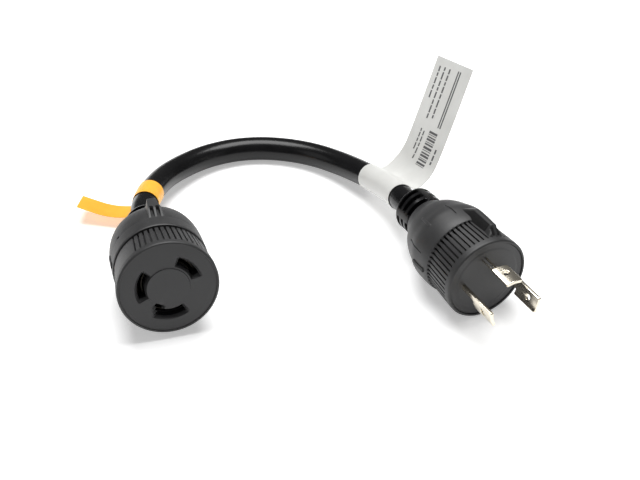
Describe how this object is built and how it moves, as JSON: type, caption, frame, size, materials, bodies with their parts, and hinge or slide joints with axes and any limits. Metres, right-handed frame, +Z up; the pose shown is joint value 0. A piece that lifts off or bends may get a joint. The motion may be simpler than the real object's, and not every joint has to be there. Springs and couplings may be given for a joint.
{
  "type": "power adapter dogbone",
  "caption": "Short heavy power adapter cord with a round locking connector at one end and a round locking plug with curved blades at the other, with a flag label and a tag on the cable.",
  "frame": {"origin": "on the surface that the adapter lies on, under the middle of the box round the connector, the plug and their strain reliefs, without the cable and its labels", "axes": "+Z up, +X from the connector to the plug, -Y the way the two faces look, +Y towards the bend of the cable"},
  "size_m": [0.2407, 0.1819, 0.0813],
  "materials": {
    "black_rubber": "matte, finely textured",
    "black_nylon": "satin",
    "cable_jacket_black": "semi-gloss",
    "nickel_plate": "bright nickel plate",
    "brass": "drawn sheet",
    "copper": "bright stranded",
    "wire_black": "smooth",
    "wire_white": "smooth",
    "wire_green": "smooth",
    "cotton": "spun yarn",
    "yellow_vinyl": "satin film",
    "white_vinyl": "satin film"
  },
  "bodies": {
    "root": {"connector_grip_ring": "black_rubber", "connector_rear_cover": "black_rubber", "connector_face": "black_nylon", "contact_carrier": "black_nylon", "contact_line": "brass", "contact_neutral": "brass", "contact_ground": "brass", "connector_strain_relief": "cable_jacket_black", "plug_shell": "black_rubber", "plug_face": "black_nylon", "plug_blade_insert": "black_nylon", "blade_line": "nickel_plate", "blade_neutral": "nickel_plate", "blade_ground": "nickel_plate", "plug_strain_relief": "cable_jacket_black", "cable_jacket": "cable_jacket_black", "wire_line": "wire_black", "wire_neutral": "wire_white", "wire_ground": "wire_green", "core_line": "copper", "core_neutral": "copper", "core_ground": "copper", "filler_1": "cotton", "filler_2": "cotton", "filler_3": "cotton", "marker_tag": "yellow_vinyl", "flag_label": "white_vinyl"}
  },
  "joints": []
}
